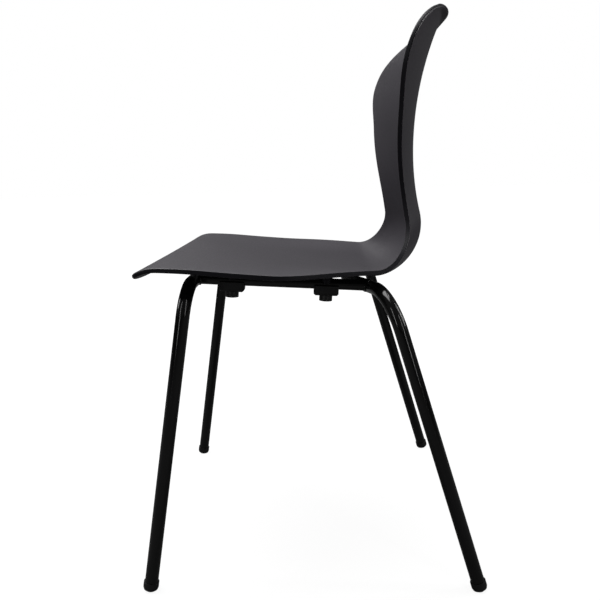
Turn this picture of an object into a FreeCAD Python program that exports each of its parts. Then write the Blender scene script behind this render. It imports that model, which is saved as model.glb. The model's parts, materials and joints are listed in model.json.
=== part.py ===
import FreeCAD
import Part
import math
import os
from FreeCAD import Placement, Rotation, Vector

# Dining chair: one moulded seat-and-back shell carried by two bent tube arches and two rails.
# Millimetres, +Z up, the front toward -Y, the mirror plane at X = 0, the floor at Z = 0.

os.makedirs("parts", exist_ok=True)
doc = FreeCAD.newDocument("dining_chair")
UP = Vector(0, 0, 1)

# The driving dimensions. Lengths in millimetres, angles in degrees.
sheet = doc.addObject("Spreadsheet::Sheet", "dimensions")
SIZES = [
    # underframe tubes
    ("tube_radius", 9.5, "leg and cross tube, outside"),
    ("tube_wall", 1.5, "wall of all tubes"),
    ("rail_radius", 8.0, "rail tube, outside"),
    ("frame_height", 437.0, "axis of the front cross tube above the floor"),
    ("front_corner_x", 204.3, "front leg axis where it meets the cross tube"),
    ("front_corner_y", 161.6, "the same, ahead of the origin"),
    ("front_bend", 41.0, "bend radius of the front arch"),
    ("rear_drop", 13.0, "rear corner below the front cross tube"),
    ("rear_corner_x", 208.7, "rear leg axis where it meets the cross tube"),
    ("rear_corner_y", 111.3, "the same, behind the origin"),
    ("rear_bend", 60.0, "bend radius at the rear corners"),
    ("bow_y", 55.5, "middle of the bowed rear cross tube, behind the origin"),
    ("bow_drop", 10.0, "middle of the bow below its ends"),
    ("bow_bend", 250.0, "bend radius in the middle of the bow"),
    ("rail_x", 135.0, "rail axis from the mirror plane"),
    # feet
    ("foot_y", 234.5, "glide centres, ahead and behind the origin"),
    ("front_foot_x", 228.4, "front glide centre from the mirror plane"),
    ("rear_foot_x", 237.6, "rear glide centre from the mirror plane"),
    ("glide_radius", 11.0, "collar of the glide"),
    ("glide_shoulder", 3.0, "upper cone of the glide's nose"),
    ("glide_waist", 10.0, "radius where the two cones of the nose meet"),
    ("glide_dome", 2.4, "lower cone of the nose, down to the floor"),
    ("glide_sole", 7.0, "radius of the nose at the floor"),
    ("collar_length", 8.0, "collar between the nose and the tube end"),
    ("plug_length", 24.0, "plug inside the tube"),
    # fixings
    ("front_fixing_y", 107.5, "front fixing ahead of the origin"),
    ("rear_fixing_y", 28.5, "rear fixing behind the origin"),
    ("saddle_length", 36.0, "saddle along the rail"),
    ("saddle_width", 24.0, "saddle across the rail"),
    ("saddle_depth", 8.0, "saddle below the rail"),
    ("saddle_lap", 6.0, "how far the saddle comes up the sides of the rail"),
    ("saddle_chamfer", 2.5, "eased corners of the saddle"),
    ("cup_radius", 9.5, "round cup below the saddle"),
    ("cup_height", 8.6, "the same, height"),
    ("well_floor", 0.8, "floor of the cup below the saddle's block"),
    ("bolt_radius", 3.0, "bolt shank"),
    ("head_radius", 5.0, "bolt head"),
    ("head_height", 6.0, "the same, height"),
    ("washer_radius", 6.25, "washer, outside"),
    ("washer_thickness", 1.2, "washer"),
    ("insert_radius", 4.2, "threaded insert, outside"),
    ("insert_length", 7.0, "the same, length"),
    ("insert_gap", 0.5, "insert above the rail"),
    ("socket_radius", 2.8, "hexagon in the bolt head, across its corners"),
    ("boss_radius", 9.0, "boss under the shell"),
    ("clearance", 0.3, "gap between curved faces that nest"),
    # shell, along its middle line from the front edge over the seat and up the back
    ("shell_thickness", 6.5, "moulded wall"),
    ("seat_start_y", 190.9, "front end of the flat seat ahead of the origin"),
    ("seat_rise", 36.3, "the same point above the front cross tube"),
    ("seat_run", 285.6, "level length of the flat seat"),
    ("seat_slope", 8.3, "seat falls to the rear"),
    ("lip_radius", 45.9, "rolled front edge"),
    ("lip_angle", 69.0, "slope of the sheet at the front edge"),
    ("hip_radius", 72.0, "bend from seat to back"),
    ("back_lean", 13.5, "lower back leans forward past the vertical"),
    ("back_radius", 440.0, "long curve of the back"),
    ("crest_lean", 22.7, "upper back leans rearward"),
    ("crest_radius", 28.5, "rolled top edge"),
    ("crest_roll", 47.2, "how far the top edge rolls over"),
    # shell, across
    ("seat_half", 241.0, "half width of the seat"),
    ("hip_half", 183.0, "half width where the seat turns up"),
    ("waist_half", 126.0, "half width of the waist"),
    ("back_half", 169.0, "half width at mid back"),
    ("shoulder_half", 201.0, "half width at the shoulders"),
    ("front_round", 33.4, "length of the rounded front end of the outline"),
    ("front_fullness", 3.8, "how square its corners are"),
    ("front_bow", 7.0, "bow of the front edge"),
    ("top_round", 76.4, "length of the rounded top end of the outline"),
    ("top_fullness", 2.3, "how square its corners are"),
    ("top_bow", 13.0, "bow of the top edge"),
    ("front_arch", 6700.0, "radius across the front edge, whose corners hang down"),
    ("seat_dish", 6900.0, "radius across the middle of the seat"),
    ("hip_dish", 850.0, "radius across the rear of the seat"),
    ("waist_dish", 246.0, "radius across the waist"),
    ("back_dish", 382.0, "radius across mid back"),
    ("upper_dish", 460.0, "radius across the upper back"),
    ("crest_dish", 565.0, "radius across the back below the rolled top edge"),
    ("edge_arch", 1120.0, "radius across the top edge, which arches the other way"),
]
for row, (name, size, note) in enumerate(SIZES, start=1):
    sheet.set("A%d" % row, name)
    sheet.set("B%d" % row, str(size))
    sheet.set("C%d" % row, note)
    sheet.setAlias("B%d" % row, name)
doc.recompute()


def dim(name):
    return float(getattr(sheet, name))


def bind(obj, **sizes):
    """Tie properties of an object to expressions over the sheet's names."""
    for prop, text in sizes.items():
        for name, _, _ in SIZES:
            text = text.replace("<%s>" % name, "dimensions.%s" % name)
        obj.setExpression(prop, text)
    return obj


def stand(origin, up, across=Vector(1, 0, 0)):
    """Placement with its local Z along up and its local X near across."""
    return Placement(origin, Rotation(across, Vector(), up, "ZXY"))


def along(place, distance):
    """The same placement, moved along its own Z."""
    return place.multiply(Placement(Vector(0, 0, distance), Rotation()))


def cylinder(name, place, radius, height):
    obj = doc.addObject("Part::Cylinder", name)
    obj.Placement = place
    return bind(obj, Radius=radius, Height=height)


def fuse(name, pieces):
    obj = doc.addObject("Part::MultiFuse", name)
    obj.Shapes = pieces
    return obj


def cut(name, base, tools):
    tool = tools[0] if len(tools) == 1 else fuse(name + "_tools", tools)
    obj = doc.addObject("Part::Cut", name)
    obj.Base = base
    obj.Tool = tool
    return obj


def group(name, pieces):
    obj = doc.addObject("Part::Compound", name)
    obj.Links = pieces
    return obj


def mirrored(point):
    return Vector(-point.x, point.y, point.z)


# The tube arches: straight tubes between corner points, with a torus bend in place of each corner.
def bent_rod(name, points, bends, radius):
    pieces = []
    start = points[0]
    corners = zip(points, points[1:], points[2:], bends)
    for number, (before, corner, after, bend) in enumerate(corners, start=1):
        inward = (before - corner).normalize()
        outward = (after - corner).normalize()
        half = inward.getAngle(outward) / 2
        first = corner + inward * (dim(bend) / math.tan(half))
        centre = corner + (inward + outward).normalize() * (dim(bend) / math.sin(half))
        pieces.append(rod("%s_run_%d" % (name, number), start, first, radius))
        turn = doc.addObject("Part::Torus", "%s_bend_%d" % (name, number))
        turn.Placement = stand(centre, (first - centre).cross(-inward), first - centre)
        turn.Angle3 = 180 - math.degrees(2 * half)
        bind(turn, Radius1="<%s>" % bend, Radius2=radius)
        pieces.append(turn)
        start = corner + outward * (dim(bend) / math.tan(half))
    pieces.append(rod(name + "_last_run", start, points[-1], radius))
    return fuse(name, pieces)


def rod(name, first, last, radius):
    return cylinder(name, stand(first, last - first), radius, "%.6f" % (last - first).Length)


def tube(name, points, bends):
    outer = bent_rod(name + "_outer", points, bends, "<tube_radius>")
    bore = bent_rod(name + "_bore", points, bends, "<tube_radius> - <tube_wall>")
    return cut(name, outer, [bore])


# A glide stands on a flat sole, cut where its lower cone would reach below the floor.
foot_z = dim("glide_shoulder") + dim("glide_dome")
front_foot = Vector(dim("front_foot_x"), -dim("foot_y"), foot_z)
rear_foot = Vector(dim("rear_foot_x"), dim("foot_y"), foot_z)
front_corner = Vector(dim("front_corner_x"), -dim("front_corner_y"), dim("frame_height"))
rear_corner = Vector(dim("rear_corner_x"), dim("rear_corner_y"), dim("frame_height") - dim("rear_drop"))
bow_middle = Vector(0, dim("bow_y"), rear_corner.z - dim("bow_drop"))


def leg_start(foot, corner):
    return foot + (corner - foot).normalize() * dim("collar_length")


front_start = leg_start(front_foot, front_corner)
rear_start = leg_start(rear_foot, rear_corner)
front_arch = tube(
    "front_leg_arch",
    [front_start, front_corner, mirrored(front_corner), mirrored(front_start)],
    ["front_bend", "front_bend"],
)
rear_arch = tube(
    "rear_leg_arch",
    [rear_start, rear_corner, bow_middle, mirrored(rear_corner), mirrored(rear_start)],
    ["rear_bend", "bow_bend", "rear_bend"],
)


# The glides: a blunt nose of two cones, a collar against the tube end and a plug in the bore.
def glide(name, foot, corner):
    place = stand(foot, corner - foot)
    collar = cylinder(name + "_collar", place, "<glide_radius>", "<collar_length>")
    plug = cylinder(
        name + "_plug", place, "<tube_radius> - <tube_wall> - <clearance>", "<collar_length> + <plug_length>"
    )
    shoulder = doc.addObject("Part::Cone", name + "_shoulder")
    shoulder.Placement = along(place, -dim("glide_shoulder"))
    bind(shoulder, Radius1="<glide_waist>", Radius2="<glide_radius>", Height="<glide_shoulder>")
    nose = doc.addObject("Part::Cone", name + "_nose")
    nose.Placement = along(place, -dim("glide_shoulder") - 2 * dim("glide_dome"))
    bind(nose, Radius1="2 * <glide_sole> - <glide_waist>", Radius2="<glide_waist>", Height="2 * <glide_dome>")
    body = fuse(name + "_body", [collar, plug, shoulder, nose])
    below = doc.addObject("Part::Box", name + "_floor")
    bind(below, Length="4 * <glide_radius>", Width="4 * <glide_radius>", Height="2 * <glide_radius>")
    reach = 2 * dim("glide_radius")
    below.Placement = Placement(Vector(foot.x - reach, foot.y - reach, -reach), Rotation())
    return cut(name, body, [below])


glides = []
for end, foot, corner in (("front", front_foot, front_corner), ("rear", rear_foot, rear_corner)):
    glides.append(glide(end + "_left_glide", foot, corner))
    glides.append(glide(end + "_right_glide", mirrored(foot), mirrored(corner)))

# The rails: straight tubes between the arches, their tops level with the tops of the cross tubes.
flush = dim("tube_radius") - dim("rail_radius")
bow_line = bow_middle - rear_corner
bow_point = rear_corner + bow_line * ((rear_corner.x - dim("rail_x")) / rear_corner.x)
rail_front = Vector(dim("rail_x"), front_corner.y, front_corner.z + flush)
rail_rear = Vector(dim("rail_x"), bow_point.y, bow_point.z + flush)
rail_line = (rail_rear - rail_front).normalize()
rail_up = Vector(1, 0, 0).cross(rail_line)


def side(vector, sign):
    return Vector(vector.x * sign, vector.y, vector.z)


def fixing_place(sign, y):
    """Local frame of a fixing: origin on the rail axis, Z square to the rail and upward, Y along the rail."""
    run = (y - rail_front.y) / rail_line.y
    return stand(side(rail_front + rail_line * run, sign), rail_up)


FIXINGS = [
    ("front_left", fixing_place(1, -dim("front_fixing_y"))),
    ("front_right", fixing_place(-1, -dim("front_fixing_y"))),
    ("rear_left", fixing_place(1, dim("rear_fixing_y"))),
    ("rear_right", fixing_place(-1, dim("rear_fixing_y"))),
]
HOLE = "<bolt_radius> + <clearance>"
RAIL_ROOM = "<rail_radius> + <clearance>"


def rail(name, sign):
    length = (rail_rear - rail_front).Length
    place = stand(side(rail_front, sign), rail_line)
    outer = cylinder(name + "_outer", place, "<rail_radius>", "%.6f" % length)
    tools = [cylinder(name + "_bore", place, "<rail_radius> - <tube_wall>", "%.6f" % length)]
    # the ends are hollowed to fit round the cross tubes
    room = "<tube_radius> + <clearance>"
    front_axis = stand(Vector(sign * dim("rail_x"), front_corner.y, front_corner.z), Vector(1, 0, 0), UP)
    rear_axis = stand(side(bow_point, sign), side(bow_line, sign), UP)
    for end, axis in (("front", front_axis), ("rear", rear_axis)):
        reach = "8 * <rail_radius>"
        tools.append(cylinder("%s_%s_end" % (name, end), along(axis, -4 * dim("rail_radius")), room, reach))
    for label, spot in FIXINGS:
        if label.endswith(name.split("_")[0]):
            low = along(spot, -2 * dim("rail_radius"))
            tools.append(cylinder("%s_%s_hole" % (name, label), low, HOLE, "4 * <rail_radius>"))
    return cut(name, outer, tools)


rails = [rail("left_rail", 1), rail("right_rail", -1)]


# The saddles: a block with eased corners that wraps the rail from below, with a cup round the bolt head.
def saddle(name, place):
    low = -(dim("rail_radius") + dim("saddle_depth"))
    block = doc.addObject("Part::Box", name + "_block")
    bind(
        block,
        Length="<saddle_width>",
        Width="<saddle_length>",
        Height="<saddle_depth> + <saddle_lap>",
    )
    corner = Vector(-dim("saddle_width") / 2, -dim("saddle_length") / 2, low)
    block.Placement = place.multiply(Placement(corner, Rotation()))
    doc.recompute()
    edges = []
    for number, edge in enumerate(block.Shape.Edges, start=1):
        run = edge.tangentAt(edge.FirstParameter)
        spot = place.inverse().multVec(edge.CenterOfMass)
        if abs(run.dot(rail_up)) > 0.9 or spot.z < low + 0.1:
            edges.append((number, dim("saddle_chamfer"), dim("saddle_chamfer")))
    eased = doc.addObject("Part::Chamfer", name + "_eased")
    eased.Base = block
    eased.Edges = edges
    cup = cylinder(name + "_cup", along(place, low - dim("cup_height")), "<cup_radius>", "<cup_height> + 1")
    body = fuse(name + "_body", [eased, cup])
    lie = place.multiply(stand(Vector(0, -dim("saddle_length"), 0), Vector(0, 1, 0)))
    tools = [
        cylinder(name + "_rail_room", lie, RAIL_ROOM, "2 * <saddle_length>"),
        cylinder(name + "_hole", along(place, low - 1), HOLE, "<saddle_depth> + <rail_radius>"),
        cylinder(
            name + "_well",
            along(place, low - dim("cup_height") - 1),
            "<washer_radius> + <clearance>",
            "<cup_height> + 1 - <well_floor>",
        ),
    ]
    return cut(name, body, tools)


saddles = [saddle(label + "_saddle", place) for label, place in FIXINGS]

# Bolts, washers and inserts: one of each at every fixing.
SEAT = -(dim("rail_radius") + dim("saddle_depth") + dim("well_floor"))
bolts = []
washers = []
inserts = []
for label, place in FIXINGS:
    head_top = SEAT - dim("washer_thickness")
    head_low = along(place, head_top - dim("head_height"))
    head = cylinder(label + "_head", head_low, "<head_radius>", "<head_height>")
    tip = dim("rail_radius") + dim("insert_length") - dim("insert_gap")
    length = "%.6f" % (tip - head_top + 1)
    shank = cylinder(label + "_shank", along(place, head_top - 1), "<bolt_radius>", length)
    socket = doc.addObject("Part::Prism", label + "_socket")
    socket.Polygon = 6
    bind(socket, Circumradius="<socket_radius>", Height="<head_height> / 2 + 1")
    socket.Placement = along(head_low, -1)
    bolts.append(cut(label + "_bolt", fuse(label + "_bolt_body", [head, shank]), [socket]))
    ring = cylinder(label + "_ring", along(place, head_top), "<washer_radius>", "<washer_thickness>")
    eye = cylinder(label + "_eye", along(place, head_top - 1), HOLE, "<washer_thickness> + 2")
    washers.append(cut(label + "_washer", ring, [eye]))
    sleeve_low = along(place, dim("rail_radius") + dim("insert_gap"))
    sleeve = doc.addObject("Part::Prism", label + "_sleeve")
    sleeve.Polygon = 6
    sleeve.Placement = sleeve_low
    bind(sleeve, Circumradius="<insert_radius>", Height="<insert_length>")
    thread = cylinder(label + "_thread", along(sleeve_low, -1), HOLE, "<insert_length> + 2")
    inserts.append(cut(label + "_insert", sleeve, [thread]))
mounting_bolts = group("mounting_bolts", bolts)
bolt_washers = group("bolt_washers", washers)
threaded_inserts = group("threaded_inserts", inserts)


# The shell's middle line, as arcs and one straight run met tangent to tangent.
def middle_line():
    slope = -math.radians(dim("seat_slope"))
    low_back = math.radians(90 + dim("back_lean"))
    high_back = math.radians(90 - dim("crest_lean"))
    seat_length = dim("seat_run") / math.cos(slope)
    turns = [
        (dim("lip_radius"), math.radians(dim("lip_angle")), slope),
        (None, slope, slope),
        (dim("hip_radius"), slope, low_back),
        (dim("back_radius"), low_back, high_back),
        (dim("crest_radius"), high_back, high_back - math.radians(dim("crest_roll"))),
    ]
    pieces = []
    y = z = run = 0.0
    for radius, first, last in turns:
        length = seat_length if radius is None else radius * abs(last - first)
        pieces.append((run, length, radius, first, last, y, z))
        if radius is None:
            y += length * math.cos(first)
            z += length * math.sin(first)
        else:
            sense = 1 if last > first else -1
            y += sense * radius * (math.sin(last) - math.sin(first))
            z -= sense * radius * (math.cos(last) - math.cos(first))
        run += length
    return pieces, run


LINE, LINE_LENGTH = middle_line()
shift_y = -dim("seat_start_y") - LINE[1][5]
shift_z = dim("frame_height") + dim("seat_rise") - LINE[1][6]
ENDS = [piece[0] for piece in LINE] + [LINE_LENGTH]


def line_at(run):
    """Point on the middle line and the direction of the line there."""
    piece = [p for p in LINE if p[0] <= run + 1e-9][-1]
    begin, length, radius, first, last, y, z = piece
    angle = first + (last - first) * (run - begin) / length
    if radius is None:
        y += (run - begin) * math.cos(first)
        z += (run - begin) * math.sin(first)
    else:
        sense = 1 if last > first else -1
        y += sense * radius * (math.sin(angle) - math.sin(first))
        z -= sense * radius * (math.cos(angle) - math.cos(first))
    return y + shift_y, z + shift_z, angle


def between(first, last, part):
    return first + (last - first) * part


# A curve through points that never overshoots and is level at both ends.
def smooth_through(points):
    xs = [p[0] for p in points]
    ys = [p[1] for p in points]
    steps = [b - a for a, b in zip(xs, xs[1:])]
    slopes = [(b - a) / step for a, b, step in zip(ys, ys[1:], steps)]
    tangents = [0.0]
    for i in range(1, len(xs) - 1):
        if slopes[i - 1] * slopes[i] <= 0:
            tangents.append(0.0)
            continue
        first = 2 * steps[i] + steps[i - 1]
        last = steps[i] + 2 * steps[i - 1]
        tangents.append((first + last) / (first / slopes[i - 1] + last / slopes[i]))
    tangents.append(0.0)

    def value(x):
        i = max(k for k in range(len(steps)) if k == 0 or xs[k] <= x)
        u = (x - xs[i]) / steps[i]
        rise = ys[i] * (2 * u ** 3 - 3 * u ** 2 + 1) + ys[i + 1] * (3 * u ** 2 - 2 * u ** 3)
        lean = tangents[i] * (u ** 3 - 2 * u ** 2 + u) + tangents[i + 1] * (u ** 3 - u ** 2)
        return rise + steps[i] * lean

    return value


# How strongly the sheet is dished across, along its middle line.
dish_at = smooth_through([
    (0.0, -1 / dim("front_arch")),
    (ENDS[1], 0.0),
    (between(ENDS[1], ENDS[2], 0.5), 1 / dim("seat_dish")),
    (ENDS[2], 1 / dim("hip_dish")),
    (ENDS[3], 1 / dim("waist_dish")),
    (between(ENDS[3], ENDS[4], 0.5), 1 / dim("back_dish")),
    (between(ENDS[3], ENDS[4], 0.75), 1 / dim("upper_dish")),
    (ENDS[4], 1 / dim("crest_dish")),
    (LINE_LENGTH, -1 / dim("edge_arch")),
])


# The sheet: three guide lines, of which the outer two carry the dish, make a surface that is a spline along
# the chair and a parabola across it. Its two coordinates are the run along the middle line and X.
reach = dim("seat_half") + 15
stations = [0.0]
for begin, end, steps in zip(ENDS, ENDS[1:], (6, 6, 8, 8, 4)):
    stations += [between(begin, end, (step + 1) / steps) for step in range(steps)]
guides = [[], [], []]
for run in stations:
    y, z, angle = line_at(run)
    base = Vector(0, y, z)
    normal = Vector(0, -math.sin(angle), math.cos(angle))
    lift = normal * (dish_at(run) * reach ** 2 / 2)
    guides[0].append(base + lift - Vector(reach, 0, 0))
    guides[1].append(base - lift)
    guides[2].append(base + lift + Vector(reach, 0, 0))
curves = []
for points in guides:
    curve = Part.BSplineCurve()
    curve.interpolate(Points=points, Parameters=stations)
    curves.append(curve)
poles = [[curve.getPole(i + 1) for curve in curves] for i in range(curves[0].NbPoles)]
sheet_surface = Part.BSplineSurface()
sheet_surface.buildFromPolesMultsKnots(
    poles, curves[0].getMultiplicities(), [3, 3], curves[0].getKnots(), [-reach, reach], False, False, 3, 2
)


# The outline on the sheet: the half widths along it, and a rounded end at the front and at the top.
# The sheet runs on a little past both ends.
TRIM = 0.5
side_begin = TRIM + dim("front_round") + dim("front_bow")
side_end = LINE_LENGTH - TRIM - dim("top_round") - dim("top_bow")
half_width = smooth_through([
    (side_begin, dim("seat_half")),
    (between(ENDS[1], ENDS[2], 0.5), dim("seat_half")),
    (ENDS[2], dim("hip_half")),
    (between(ENDS[3], ENDS[4], 0.065), dim("waist_half")),
    (between(ENDS[3], ENDS[4], 0.5), dim("back_half")),
    (side_end, dim("shoulder_half")),
])


def rounded_end(base, sense, half, name):
    """Across one end of the sheet: a superellipse, squarer with more fullness, on top of a shallow bow."""
    power = 2 / dim(name + "_fullness")
    points = []
    for k in range(33):
        sine = round(math.sin(math.pi * k / 32), 9)
        cosine = round(-math.cos(math.pi * k / 32), 9)
        part = abs(cosine) ** power
        rise = dim(name + "_round") * sine ** power + dim(name + "_bow") * (1 - part ** 2)
        points.append((base + sense * rise, half * math.copysign(part, cosine)))
    return points


front_edge = rounded_end(side_begin, -1, dim("seat_half"), "front")
top_edge = rounded_end(side_end, 1, -dim("shoulder_half"), "top")
side_edge = [(run, half_width(run)) for run in (between(side_begin, side_end, k / 24) for k in range(25))]


def flipped(points):
    return [(run, -x) for run, x in reversed(points)]


outline = []
for points in (front_edge, side_edge, top_edge, flipped(side_edge)):
    trace = Part.Geom2d.BSplineCurve2d()
    trace.interpolate([FreeCAD.Base.Vector2d(run, x) for run, x in points])
    outline.append(trace.toShape(sheet_surface))
sheet_face = Part.Face(sheet_surface, Part.Wire(outline))
sheet_face.validate()
shell_wall = doc.addObject("Part::Feature", "shell_wall")
shell_wall.Shape = sheet_face.makeOffsetShape(dim("shell_thickness"), 1e-3, fill=True)

# Bosses under the seat reach down to the rails, hollowed to fit round them, each with a pocket for an insert.
bosses = []
hollows = []
for label, place in FIXINGS:
    probe = Part.makeLine(place.Base, along(place, dim("seat_half")).Base).common(shell_wall.Shape)
    heights = [place.inverse().multVec(v.Point).z for v in probe.Vertexes]
    into_wall = (min(heights) + max(heights)) / 2
    bosses.append(cylinder(label + "_boss", place, "<boss_radius>", "%.6f" % into_wall))
    pocket = "<rail_radius> + <insert_length> + 2 * <insert_gap>"
    hollows.append(cylinder(label + "_pocket", place, "<insert_radius> + <clearance>", pocket))
for label, sign in (("left", 1), ("right", -1)):
    place = along(stand(side(rail_front, sign), rail_line), 1)
    hollows.append(cylinder(label + "_rail_room", place, RAIL_ROOM, "%.6f" % (rail_rear - rail_front).Length))
seat_shell = cut("seat_shell", fuse("shell_with_bosses", [shell_wall] + bosses), hollows)

NODES = [seat_shell, front_arch, rear_arch] + rails + glides + saddles
NODES += [mounting_bolts, bolt_washers, threaded_inserts]
doc.recompute()
for obj in doc.Objects:
    if "Invalid" in obj.State or "Error" in obj.State:
        raise RuntimeError("failed feature: " + obj.Label)
for obj in NODES:
    if obj.Shape.isNull() or not obj.Shape.isValid() or not obj.Shape.Solids:
        raise RuntimeError("bad shape: " + obj.Label)
for obj in NODES:
    obj.Shape.exportStep("parts/%s.step" % obj.Label)
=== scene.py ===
import bmesh
import bpy
import json
import math
from collections import namedtuple
from mathutils import Matrix, Vector


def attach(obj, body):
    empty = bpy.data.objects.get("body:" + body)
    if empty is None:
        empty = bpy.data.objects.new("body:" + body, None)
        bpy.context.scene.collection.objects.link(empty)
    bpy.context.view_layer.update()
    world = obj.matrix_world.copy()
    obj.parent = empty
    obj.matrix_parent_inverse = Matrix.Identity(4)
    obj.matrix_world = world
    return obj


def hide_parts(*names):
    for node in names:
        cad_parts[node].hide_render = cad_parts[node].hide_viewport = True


# Dining chair: looks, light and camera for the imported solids.
# Metres, +Z up, the front toward -Y, the mirror plane at X = 0, the floor at Z = 0.
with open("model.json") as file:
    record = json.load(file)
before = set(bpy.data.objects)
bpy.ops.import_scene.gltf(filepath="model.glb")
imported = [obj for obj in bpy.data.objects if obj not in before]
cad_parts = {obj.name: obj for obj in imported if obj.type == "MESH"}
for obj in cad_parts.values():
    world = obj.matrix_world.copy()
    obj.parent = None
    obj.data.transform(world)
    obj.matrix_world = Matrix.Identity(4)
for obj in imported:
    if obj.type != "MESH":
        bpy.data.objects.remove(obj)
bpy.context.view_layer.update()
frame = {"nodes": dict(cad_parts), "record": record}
scene = bpy.context.scene
slot_of = {entry["node"]: entry["material_slot"] for entry in frame["record"]["subparts"]}


# Shader node helpers.
def add(tree, kind, **values):
    """A new node, with values for its inputs or its settings."""
    node = tree.nodes.new(kind)
    for key, value in values.items():
        if key in node.inputs:
            node.inputs[key].default_value = value
        else:
            setattr(node, key, value)
    return node


def link(tree, source, target):
    tree.links.new(source, target)


def new_material(name):
    material = bpy.data.materials.new(name)
    material.use_nodes = True
    return material, material.node_tree, material.node_tree.nodes["Principled BSDF"]


def remap(tree, source, from_span, to_span):
    """The value of a socket, carried from one span onto another and kept inside it."""
    node = add(tree, "ShaderNodeMapRange", clamp=True)
    node.inputs["From Min"].default_value = from_span[0]
    node.inputs["From Max"].default_value = from_span[1]
    node.inputs["To Min"].default_value = to_span[0]
    node.inputs["To Max"].default_value = to_span[1]
    link(tree, source, node.inputs["Value"])
    return node.outputs["Result"]


def combine(tree, operation, first, second):
    """One value worked out from two sockets."""
    node = add(tree, "ShaderNodeMath", operation=operation)
    link(tree, first, node.inputs[0])
    link(tree, second, node.inputs[1])
    return node.outputs["Value"]


# Surface detail that all looks share: settings of its three noises, and the spans of them that are used.
GRAIN_NOISE = {"Detail": 3.0, "Roughness": 0.6}
PATCH_NOISE = {"Scale": 9.0, "Detail": 4.0, "Roughness": 0.55}
SPECK_NOISE = {"Scale": 420.0, "Detail": 2.0}
GRAIN_HEIGHT = 0.0004
PATCH_SPAN = (0.3, 0.7)
SPECK_SPAN = (0.25, 0.75)
UNIT_SPAN = (0.0, 1.0)


def surface_group():
    """Fine grain as a normal, broad patches and fine specks as values."""
    group = bpy.data.node_groups.new("surface_detail", "ShaderNodeTree")
    for name in ("Grain Scale", "Grain Depth"):
        group.interface.new_socket(name, in_out="INPUT", socket_type="NodeSocketFloat")
    group.interface.new_socket("Normal", in_out="OUTPUT", socket_type="NodeSocketVector")
    for name in ("Patches", "Specks"):
        group.interface.new_socket(name, in_out="OUTPUT", socket_type="NodeSocketFloat")
    given = add(group, "NodeGroupInput")
    result = add(group, "NodeGroupOutput")
    coords = add(group, "ShaderNodeTexCoord")
    grain = add(group, "ShaderNodeTexNoise", **GRAIN_NOISE)
    patches = add(group, "ShaderNodeTexNoise", **PATCH_NOISE)
    specks = add(group, "ShaderNodeTexNoise", **SPECK_NOISE)
    for noise in (grain, patches, specks):
        link(group, coords.outputs["Object"], noise.inputs["Vector"])
    link(group, given.outputs["Grain Scale"], grain.inputs["Scale"])
    bump = add(group, "ShaderNodeBump", Distance=GRAIN_HEIGHT)
    link(group, given.outputs["Grain Depth"], bump.inputs["Strength"])
    link(group, grain.outputs["Fac"], bump.inputs["Height"])
    link(group, bump.outputs["Normal"], result.inputs["Normal"])
    link(group, patches.outputs["Fac"], result.inputs["Patches"])
    link(group, specks.outputs["Fac"], result.inputs["Specks"])
    return group


# The finish of each material slot, and of a darker copy of the shell plastic that paints shade on its rim
# and bosses: dark and light tone, span of roughness, scale and depth of the grain, specular level, share of
# metal.
Finish = namedtuple("Finish", "dark light roughness grain specular metallic", defaults=(0.5, 0.0))
BLACK_PLASTIC = Finish((0.003, 0.003, 0.0035), (0.006, 0.006, 0.0065), (0.35, 0.48), (1200.0, 0.08), 0.35)
STEEL_GRAIN = (900.0, 0.05)
FINISHES = {
    "shell_plastic": Finish(
        (0.0220, 0.0196, 0.0248), (0.0270, 0.0242, 0.0300), (0.42, 0.52), (1500.0, 0.10), specular=0.4
    ),
    # A darker copy of the shell plastic: painted shade for the rim and the bosses.
    "shell_painted_shade": Finish(
        (0.0050, 0.0046, 0.0066), (0.0075, 0.0070, 0.0095), (0.46, 0.54), (1100.0, 0.04), specular=0.12
    ),
    "tube_paint": Finish(
        (0.002, 0.002, 0.002), (0.004, 0.004, 0.004), (0.09, 0.15), (700.0, 0.010), specular=0.35
    ),
    "glide_plastic": BLACK_PLASTIC,
    "saddle_plastic": BLACK_PLASTIC,
    "bolt_steel": Finish((0.16, 0.16, 0.17), (0.24, 0.24, 0.25), (0.28, 0.42), STEEL_GRAIN, metallic=1.0),
    "washer_steel": Finish((0.34, 0.34, 0.35), (0.44, 0.44, 0.45), (0.25, 0.4), STEEL_GRAIN, metallic=1.0),
    "insert_brass": Finish((0.55, 0.38, 0.15), (0.66, 0.48, 0.22), (0.25, 0.4), STEEL_GRAIN, metallic=1.0),
}


def new_look(name, finish, group):
    """Material whose colour varies between two tones in patches and whose gloss varies in specks."""
    material, tree, shader = new_material(name)
    detail = add(tree, "ShaderNodeGroup", node_tree=group)
    detail.inputs["Grain Scale"].default_value = finish.grain[0]
    detail.inputs["Grain Depth"].default_value = finish.grain[1]
    tone = add(tree, "ShaderNodeMix", data_type="RGBA")
    tone.inputs["A"].default_value = (*finish.dark, 1)
    tone.inputs["B"].default_value = (*finish.light, 1)
    link(tree, remap(tree, detail.outputs["Patches"], PATCH_SPAN, UNIT_SPAN), tone.inputs["Factor"])
    link(tree, tone.outputs["Result"], shader.inputs["Base Color"])
    gloss = remap(tree, detail.outputs["Specks"], SPECK_SPAN, finish.roughness)
    link(tree, gloss, shader.inputs["Roughness"])
    link(tree, detail.outputs["Normal"], shader.inputs["Normal"])
    shader.inputs["Metallic"].default_value = finish.metallic
    shader.inputs["Specular IOR Level"].default_value = finish.specular
    return material


surface_detail = surface_group()
looks = {slot: new_look(slot + "_look", finish, surface_detail) for slot, finish in FINISHES.items()}
for node_name, solid in frame["nodes"].items():
    solid.data.materials.clear()
    solid.data.materials.append(looks[slot_of[node_name]])


def new_piece(name, bm, look, smooth=True):
    """Object made from a bmesh, riding on the chair."""
    mesh = bpy.data.meshes.new(name)
    bm.to_mesh(mesh)
    bm.free()
    mesh.polygons.foreach_set("use_smooth", [smooth] * len(mesh.polygons))
    mesh.materials.append(look)
    obj = bpy.data.objects.new(name, mesh)
    scene.collection.objects.link(obj)
    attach(obj, "root")
    return obj


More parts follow.
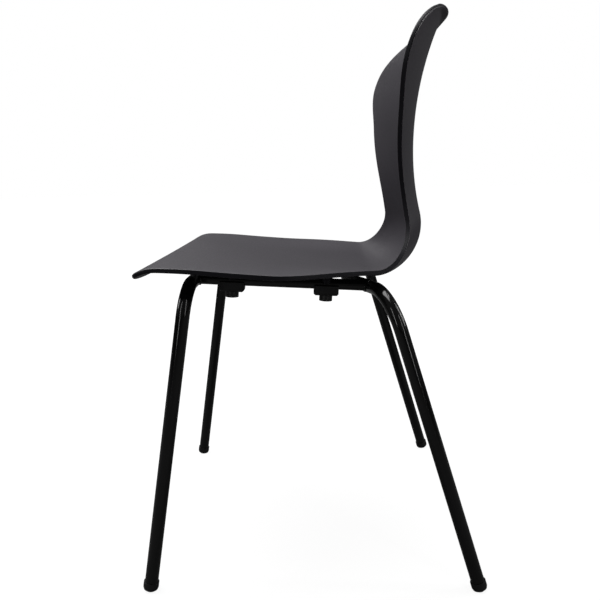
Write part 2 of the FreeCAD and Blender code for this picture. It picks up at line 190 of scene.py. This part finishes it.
# The moulded shell: the lengths of its solid, here with rounded rims and with a front that begins to fall
# a little earlier than the solid's. Radii, angles and places of its middle line.
WALL = 0.0065
LIP_RADIUS = 0.046
FALL_RADIUS = 0.6233
HIP_RADIUS = 0.072
BACK_RADIUS = 0.440
CREST_RADIUS = 0.0285
LIP_ANGLE = math.radians(63.2)
FALL_ANGLE = math.radians(5.94)
SEAT_SLOPE = math.radians(8.3)
BACK_LEAN = math.radians(13.5)
CREST_LEAN = math.radians(22.7)
CREST_ROLL = math.radians(47.2)
SEAT_RUN = 0.2234
SEAT_START_Y = -0.1287
SEAT_START_Z = 0.46423
SEAT_MIDDLE_Y = -0.0481
# Half widths, and the waist's place as a part of the back curve.
SEAT_HALF = 0.241
HIP_HALF = 0.183
WAIST_HALF = 0.126
BACK_HALF = 0.169
SHOULDER_HALF = 0.201
WAIST_PART = 0.065
# Radii across the sheet, dished or arched the other way, and the place of one of them on the back curve.
UPPER_PART = 0.75
FRONT_DISH = 12.4
LIP_ARCH = 50.0
SEAT_DISH = 6.9
HIP_DISH = 0.85
WAIST_DISH = 0.246
BACK_DISH = 0.382
UPPER_DISH = 0.46
CREST_DISH = 0.565
EDGE_ARCH = 1.12
# The outline's rounded ends: length, how square the corners are, bow of the edge, half width.
End = namedtuple("End", "length fullness bow half")
FRONT_END = End(0.0307, 4.24, 0.0062, SEAT_HALF)
TOP_END = End(0.0764, 2.3, 0.013, SHOULDER_HALF)
# The middle line runs on this far past both ends of the outline.
TRIM = 0.0005
SAME_RUN = 1e-9


def between(first, last, part):
    return first + (last - first) * part


def blend(first, last, part):
    """A point between two points."""
    return tuple(between(a, b, part) for a, b in zip(first, last))


def level_curve(points):
    """Curve through points that never overshoots and is level at both ends."""
    xs = [p[0] for p in points]
    ys = [p[1] for p in points]
    steps = [b - a for a, b in zip(xs, xs[1:])]
    slopes = [(b - a) / step for a, b, step in zip(ys, ys[1:], steps)]
    tangents = [0.0]
    for i in range(1, len(xs) - 1):
        if slopes[i - 1] * slopes[i] <= 0:
            tangents.append(0.0)
            continue
        first = 2 * steps[i] + steps[i - 1]
        last = steps[i] + 2 * steps[i - 1]
        tangents.append((first + last) / (first / slopes[i - 1] + last / slopes[i]))
    tangents.append(0.0)

    def value(x):
        i = max(k for k in range(len(steps)) if k == 0 or xs[k] <= x)
        u = (x - xs[i]) / steps[i]
        rise = ys[i] * (2 * u ** 3 - 3 * u ** 2 + 1) + ys[i + 1] * (3 * u ** 2 - 2 * u ** 3)
        lean = tangents[i] * (u ** 3 - 2 * u ** 2 + u) + tangents[i + 1] * (u ** 3 - u ** 2)
        return rise + steps[i] * lean

    return value


# The shell's middle line: pieces met tangent to tangent, from the front edge over the seat and up the back.
Piece = namedtuple("Piece", "begin length radius first last y z")


def travel(piece, run):
    """How far the line goes back and up within a piece, and its angle there."""
    angle = between(piece.first, piece.last, (run - piece.begin) / piece.length)
    if piece.radius is None:
        straight = run - piece.begin
        return straight * math.cos(angle), straight * math.sin(angle), angle
    bend = math.copysign(piece.radius, piece.last - piece.first)
    back = bend * (math.sin(angle) - math.sin(piece.first))
    up = bend * (math.cos(piece.first) - math.cos(angle))
    return back, up, angle


def middle_line():
    low_back = math.pi / 2 + BACK_LEAN
    high_back = math.pi / 2 - CREST_LEAN
    turns = [
        (LIP_RADIUS, LIP_ANGLE, FALL_ANGLE - SEAT_SLOPE),
        (FALL_RADIUS, FALL_ANGLE - SEAT_SLOPE, -SEAT_SLOPE),
        (None, -SEAT_SLOPE, -SEAT_SLOPE),
        (HIP_RADIUS, -SEAT_SLOPE, low_back),
        (BACK_RADIUS, low_back, high_back),
        (CREST_RADIUS, high_back, high_back - CREST_ROLL),
    ]
    pieces = []
    y = z = run = 0.0
    for radius, first, last in turns:
        length = SEAT_RUN / math.cos(SEAT_SLOPE) if radius is None else radius * abs(last - first)
        piece = Piece(run, length, radius, first, last, y, z)
        pieces.append(piece)
        run += length
        back, up, _ = travel(piece, run)
        y += back
        z += up
    return pieces, run


LINE, LINE_LENGTH = middle_line()
LIP, FALL, SEAT, HIP, BACK, CREST = LINE
seat_middle = SEAT.begin + (SEAT_MIDDLE_Y - SEAT_START_Y) / math.cos(SEAT_SLOPE)
back_middle = between(BACK.begin, CREST.begin, 0.5)

# How strongly the sheet is dished across, along its middle line.
dish = level_curve([
    (LIP.begin, 1 / FRONT_DISH),
    (FALL.begin, -1 / LIP_ARCH),
    (seat_middle, 1 / SEAT_DISH),
    (HIP.begin, 1 / HIP_DISH),
    (BACK.begin, 1 / WAIST_DISH),
    (back_middle, 1 / BACK_DISH),
    (between(BACK.begin, CREST.begin, UPPER_PART), 1 / UPPER_DISH),
    (CREST.begin, 1 / CREST_DISH),
    (LINE_LENGTH, -1 / EDGE_ARCH),
])

# Its half widths between the rounded ends.
side_begin = TRIM + FRONT_END.length + FRONT_END.bow
side_end = LINE_LENGTH - TRIM - TOP_END.length - TOP_END.bow
half_width = level_curve([
    (side_begin, SEAT_HALF),
    (seat_middle, SEAT_HALF),
    (HIP.begin, HIP_HALF),
    (between(BACK.begin, CREST.begin, WAIST_PART), WAIST_HALF),
    (back_middle, BACK_HALF),
    (side_end, SHOULDER_HALF),
])


def sheet_point(run, x):
    """The point of the shell's upper face at a run along the middle line and a place across it."""
    piece = [p for p in LINE if p.begin <= run + SAME_RUN][-1]
    back, up, angle = travel(piece, run)
    lift = dish(run) * x * x / 2
    y = SEAT_START_Y + piece.y - SEAT.y + back - math.sin(angle) * lift
    z = SEAT_START_Z + piece.z - SEAT.z + up + math.cos(angle) * lift
    return Vector((x, y, z))


# The grid that fills the outline, and the steps that the outline is first taken in.
ROWS = 170
COLUMNS = 64
HALF = COLUMNS // 2
CORNER_STEPS = 40
SIDE_STEPS = 300
# The grid's corners lie at these parts of the ends' half widths.
FRONT_PART = 0.982
TOP_PART = 0.93


def end_point(end, base, sense, part):
    """A point (run, x) on a rounded end: a superellipse on top of a shallow bow."""
    rise = end.length * (1 - part ** end.fullness) ** (1 / end.fullness) + end.bow * (1 - part * part)
    return base + sense * rise, end.half * part


def front_point(part):
    return end_point(FRONT_END, side_begin, -1, part)


def top_point(part):
    return end_point(TOP_END, side_end, 1, part)


def spread(points, count):
    """The same polyline at even steps."""
    runs = [0.0]
    for a, b in zip(points, points[1:]):
        runs.append(runs[-1] + math.dist(a, b))
    even = []
    i = 0
    for k in range(count + 1):
        want = runs[-1] * k / count
        while i < len(points) - 2 and runs[i + 1] < want:
            i += 1
        even.append(blend(points[i], points[i + 1], (want - runs[i]) / (runs[i + 1] - runs[i])))
    return even


def half_outline():
    """Half the outline as (run, x), from the middle of the front edge to the middle of the top edge."""
    front = [front_point(FRONT_PART * k / COLUMNS) for k in range(COLUMNS + 1)]
    top = [top_point(TOP_PART * k / COLUMNS) for k in range(COLUMNS, -1, -1)]
    corner_parts = [(k / CORNER_STEPS) ** 2 for k in range(CORNER_STEPS + 1)]
    side = [front_point(between(1, FRONT_PART, part)) for part in reversed(corner_parts)]
    for k in range(1, SIDE_STEPS):
        run = between(side_begin, side_end, k / SIDE_STEPS)
        side.append((run, half_width(run)))
    side += [top_point(between(1, TOP_PART, part)) for part in corner_parts]
    return spread(front, HALF)[:-1] + spread(side, ROWS) + spread(top, HALF)[1:]


def moved_in(outline, depth):
    """The half outline moved into the sheet."""
    before_first = (outline[1][0], -outline[1][1])
    after_last = (outline[-2][0], -outline[-2][1])
    neighbours = [before_first] + outline + [after_last]
    moved = []
    for before, (run, x), after in zip(neighbours, outline, neighbours[2:]):
        step = depth / math.dist(before, after)
        moved.append((run + step * (after[1] - before[1]), x - step * (after[0] - before[0])))
    return moved


def fill(outline):
    """Rows of (run, x) over the whole sheet: the half outline's edges, blended and mirrored."""
    front = outline[:HALF + 1]
    side = outline[HALF:HALF + ROWS + 1]
    top = outline[:HALF + ROWS - 1:-1]
    rows = []
    for i, edge in enumerate(side):
        corner = blend(front[-1], top[-1], i / ROWS)
        row = []
        for j in range(-HALF, HALF + 1):
            run, x = blend(front[abs(j)], top[abs(j)], i / ROWS)
            run += edge[0] - corner[0]
            x += (edge[1] - corner[1]) * abs(j) / HALF
            row.append((run, math.copysign(x, j)))
        rows.append(row)
    return rows


# The rim's corners: full round at the front and top edges, fading to nearly square along the sides.
RIM_ROUND = 0.0031
RIM_SIDE_SHARE = 0.3
RIM_FADE = 0.07
RIM_SEGMENTS = 6
# The sheet's edge is reached in rings, at these depths inside the outline.
RINGS = (0.0095, 0.0050, 0.0)


def rim_share(place):
    """The share of the full rounding at a place along the half outline."""
    row = min(max(place - HALF, 0), ROWS)
    away = min(row, ROWS - row) * LINE_LENGTH / ROWS
    fade = max(0.0, 1 - away / RIM_FADE)
    return between(RIM_SIDE_SHARE, 1, fade * fade * (3 - 2 * fade))


def edge_place(row, column):
    """Where a vertex on the grid's edge lies along the half outline."""
    if row == 0:
        return abs(column)
    if row == ROWS:
        return 2 * HALF + ROWS - abs(column)
    return HALF + row


def shell_sheet():
    """The shell's upper face: a grid on the sheet, its edge grown outward in rings to the outline."""
    outline = half_outline()
    bm = bmesh.new()
    bmesh.ops.create_grid(bm, x_segments=COLUMNS, y_segments=ROWS, size=1)
    cells = fill(moved_in(outline, RINGS[0]))
    places = {}
    for vert in bm.verts:
        row = round((vert.co.y + 1) / 2 * ROWS)
        column = round(vert.co.x * HALF)
        vert.co = sheet_point(*cells[row][column + HALF])
        if vert.is_boundary:
            places[vert] = (edge_place(row, column), math.copysign(1, column))
    for depth in RINGS[1:]:
        ring = moved_in(outline, depth)
        border = [edge for edge in bm.edges if edge.is_boundary]
        made = bmesh.ops.extrude_edge_only(bm, edges=border)["geom"]
        grown = {}
        for vert in (item for item in made if isinstance(item, bmesh.types.BMVert)):
            others = (edge.other_vert(vert) for edge in vert.link_edges)
            place, sign = places[next(other for other in others if other in places)]
            grown[vert] = (place, sign)
            run, x = ring[place]
            vert.co = sheet_point(run, x * sign)
        places = grown
    weight = bm.edges.layers.float.new("bevel_weight_edge")
    for edge in bm.edges:
        if edge.is_boundary:
            edge[weight] = sum(rim_share(places[vert][0]) for vert in edge.verts) / 2
    bmesh.ops.recalc_face_normals(bm, faces=bm.faces)
    return bm


shell = new_piece("moulded_shell", shell_sheet(), looks["shell_plastic"])
# The rim faces take the darker copy of the plastic: painted shade on the edge that faces away from the lamps.
shell.data.materials.append(looks["shell_painted_shade"])
wall = shell.modifiers.new("wall", "SOLIDIFY")
wall.thickness = WALL
wall.offset = -1.0
wall.use_even_offset = True
wall.material_offset_rim = 1
rim = shell.modifiers.new("rim", "BEVEL")
rim.width = RIM_ROUND
rim.segments = RIM_SEGMENTS
rim.limit_method = "WEIGHT"
rim.harden_normals = True
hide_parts("seat_shell")

# The left rail's axis, and the bosses between the rails and the seat.
RAIL_FRONT = Vector((0.135, -0.1616, 0.4385))
RAIL_REAR = Vector((0.135, 0.0916, 0.42197))
RAIL_LINE = (RAIL_REAR - RAIL_FRONT).normalized()
RAIL_UP = Vector((1, 0, 0)).cross(RAIL_LINE)
RAIL_RADIUS = 0.008
BOSS_REACH = 0.0091
BOSS_SINK = 0.002
FIXINGS_Y = (-0.1075, 0.0285)
SAME_PLACE = 1e-6
SIDES = (1, -1)


def to_side(vector, sign):
    """A vector as it is on the left, or mirrored to the right."""
    return Vector((vector.x * sign, vector.y, vector.z))


boss_spots = []
for sign in SIDES:
    for y in FIXINGS_Y:
        boss_spots.append(to_side(RAIL_FRONT + RAIL_LINE * ((y - RAIL_FRONT.y) / RAIL_LINE.y), sign))


def in_boss(point):
    for spot in boss_spots:
        away = point - spot
        if (away - RAIL_UP * away.dot(RAIL_UP)).length < BOSS_REACH:
            return True
    return False


def boss_solids():
    """The solid's four bosses, carried a little way into the new wall and closed there."""
    solid = frame["nodes"]["seat_shell"]
    bm = bmesh.new()
    bm.from_mesh(solid.data)
    bm.transform(solid.matrix_world)
    bmesh.ops.remove_doubles(bm, verts=bm.verts, dist=SAME_PLACE)
    wall_faces = [face for face in bm.faces if not all(in_boss(vert.co) for vert in face.verts)]
    bmesh.ops.delete(bm, geom=wall_faces, context="FACES")
    for vert in bm.verts:
        if vert.is_boundary:
            vert.co += RAIL_UP * BOSS_SINK
    bmesh.ops.holes_fill(bm, edges=[edge for edge in bm.edges if edge.is_boundary], sides=0)
    bmesh.ops.recalc_face_normals(bm, faces=bm.faces)
    return bm


# The bosses take the same darker copy of the plastic: painted shade under the seat.
bosses = new_piece("shell_bosses", boss_solids(), looks["shell_painted_shade"], smooth=False)
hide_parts("seat_shell")

# Weld beads where the rails meet the cross tubes.
TUBE_RADIUS = 0.0095
FRONT_TUBE = Vector((0.135, -0.1616, 0.437))
FRONT_TUBE_WAY = Vector((1, 0, 0))
REAR_TUBE = Vector((0.135, 0.0916, 0.42047))
REAR_TUBE_WAY = Vector((0.2087, 0.0558, 0.010)).normalized()
BEAD_RADIUS = 0.0017
BEAD_SIDES = 8
BEAD_STEPS = 56
RIPPLE = 0.14
RIPPLES = 14


def weld_bead(rail_point, rail_way, tube_point, tube_way):
    """A rippled ring round the rail's end, each point carried along the rail onto the cross tube."""
    ring = bmesh.new()
    upright = Matrix.Rotation(math.pi / 2, 4, "X")
    bmesh.ops.create_circle(ring, segments=BEAD_SIDES, radius=BEAD_RADIUS, matrix=upright)
    bmesh.ops.translate(ring, verts=ring.verts, vec=(RAIL_RADIUS, 0, 0))
    bmesh.ops.spin(
        ring, geom=ring.verts[:] + ring.edges[:], cent=(0, 0, 0), axis=(0, 0, 1),
        angle=2 * math.pi, steps=BEAD_STEPS, use_merge=True,
    )
    bmesh.ops.recalc_face_normals(ring, faces=ring.faces)
    across = rail_way.orthogonal().normalized()
    place = Matrix((across, rail_way.cross(across), rail_way)).transposed()
    flat = rail_way - tube_way * rail_way.dot(tube_way)
    slant = flat.dot(flat)
    for vert in ring.verts:
        turn = math.atan2(vert.co.y, vert.co.x)
        core = Vector((math.cos(turn), math.sin(turn), 0)) * RAIL_RADIUS
        spot = rail_point + place @ core
        away = spot - tube_point
        away = away - tube_way * away.dot(tube_way)
        half = away.dot(flat)
        root = math.sqrt(max(half * half - slant * (away.dot(away) - TUBE_RADIUS ** 2), 0.0))
        swell = (vert.co - core) * (1 + RIPPLE * math.sin(RIPPLES * turn))
        vert.co = spot + place @ swell + rail_way * ((root - half) / slant)
    mesh = bpy.data.meshes.new("weld_bead")
    ring.to_mesh(mesh)
    ring.free()
    return mesh


def bead_rings():
    bm = bmesh.new()
    for sign in SIDES:
        rail_front = to_side(RAIL_FRONT, sign)
        rail_rear = to_side(RAIL_REAR, sign)
        bm.from_mesh(weld_bead(rail_front, RAIL_LINE, to_side(FRONT_TUBE, sign), FRONT_TUBE_WAY))
        bm.from_mesh(weld_bead(rail_rear, -RAIL_LINE, to_side(REAR_TUBE, sign), to_side(REAR_TUBE_WAY, sign)))
    bmesh.ops.recalc_face_normals(bm, faces=bm.faces)
    return bm


new_piece("weld_beads", bead_rings(), looks["tube_paint"])

# The floor: white to the camera, a little less so near the chair where the light adds to it.
FLOOR_SIZE = 40
FLOOR_GREY = (0.12, 0.12, 0.12, 1)
FLOOR_ROUGHNESS = 0.9
WHITE = (1, 1, 1, 1)
GLOW_REACH = (0.7, 2.4)
GLOW_SPAN = (0.91, 1.0)


def studio_floor():
    bpy.ops.mesh.primitive_plane_add(size=FLOOR_SIZE)
    plane = bpy.context.object
    plane.name = "studio_floor"
    material, tree, shader = new_material("studio_floor_look")
    shader.inputs["Base Color"].default_value = FLOOR_GREY
    shader.inputs["Roughness"].default_value = FLOOR_ROUGHNESS
    shader.inputs["Specular IOR Level"].default_value = 0.0
    shader.inputs["Emission Color"].default_value = WHITE
    rays = add(tree, "ShaderNodeLightPath")
    coords = add(tree, "ShaderNodeTexCoord")
    reach = add(tree, "ShaderNodeVectorMath", operation="LENGTH")
    link(tree, coords.outputs["Object"], reach.inputs[0])
    fade = remap(tree, reach.outputs["Value"], GLOW_REACH, GLOW_SPAN)
    glow = combine(tree, "MULTIPLY", rays.outputs["Is Camera Ray"], fade)
    link(tree, glow, shader.inputs["Emission Strength"])
    plane.data.materials.append(material)
    return plane


floor = studio_floor()

# The background: white to the camera, dim to the chair, a little brighter in its reflections.
WORLD_SPAN = (0.07, 1.0)
SHEEN_SPAN = (0.0, 0.04)


def studio_world():
    world = bpy.data.worlds.new("studio_world")
    world.use_nodes = True
    tree = world.node_tree
    background = tree.nodes["Background"]
    rays = add(tree, "ShaderNodeLightPath")
    seen = remap(tree, rays.outputs["Is Camera Ray"], UNIT_SPAN, WORLD_SPAN)
    sheen = remap(tree, rays.outputs["Is Glossy Ray"], UNIT_SPAN, SHEEN_SPAN)
    link(tree, combine(tree, "ADD", seen, sheen), background.inputs["Strength"])
    background.inputs["Color"].default_value = WHITE
    return world


scene.world = studio_world()


# The lamps: where each stands and aims, its width and height, and its watts.
LAMPS = {
    "top_softbox": ((-0.5, -0.5, 2.8), (-0.1, 0, 0.3), (2.2, 2.6), 118),
    "front_softbox": ((-0.1, -2.5, 1.6), (0, 0, 0.6), (0.5, 1.6), 18),
    "rear_near_softbox": ((0.3, 2.5, 1.8), (0, 0, 0.6), (0.16, 1.8), 16),
    "rear_far_softbox": ((-0.4, 2.5, 1.8), (0, 0, 0.6), (0.16, 1.8), 17),
    "front_strip": ((1.7, -1.2, 1.0), (0, 0, 0.5), (0.16, 1.7), 7),
    "rear_strip": ((1.7, 1.3, 1.0), (0, 0, 0.5), (0.16, 1.7), 7),
}


def area_light(name, place, target, size, power):
    lamp = bpy.data.lights.new(name, "AREA")
    lamp.shape = "RECTANGLE"
    lamp.size, lamp.size_y = size
    lamp.energy = power
    obj = bpy.data.objects.new(name, lamp)
    scene.collection.objects.link(obj)
    obj.location = place
    obj.rotation_euler = (Vector(target) - Vector(place)).to_track_quat("-Z", "Y").to_euler()


for lamp_name, settings in LAMPS.items():
    area_light(lamp_name, *settings)

# The camera, at the photograph's angle.
PITCH = math.radians(11.37)
YAW = math.radians(-1.29)
ROLL = math.radians(1.553)
EYE = (1.0353, 0.00995, 0.5839)
LENS = 37.8
SENSOR = 36.0


def photo_camera():
    forward = Vector((-math.cos(YAW) * math.cos(PITCH), math.sin(YAW) * math.cos(PITCH), -math.sin(PITCH)))
    level = Vector((math.sin(YAW), math.cos(YAW), 0))
    plumb = forward.cross(level)
    right = level * math.cos(ROLL) + plumb * math.sin(ROLL)
    down = plumb * math.cos(ROLL) - level * math.sin(ROLL)
    turn = Matrix((right, -down, -forward)).transposed()
    lens = bpy.data.cameras.new("photo_camera")
    lens.sensor_width = SENSOR
    lens.lens = LENS
    camera = bpy.data.objects.new("photo_camera", lens)
    camera.matrix_world = Matrix.Translation(EYE) @ turn.to_4x4()
    scene.collection.objects.link(camera)
    return camera


scene.camera = photo_camera()
scene.view_settings.view_transform = "Standard"
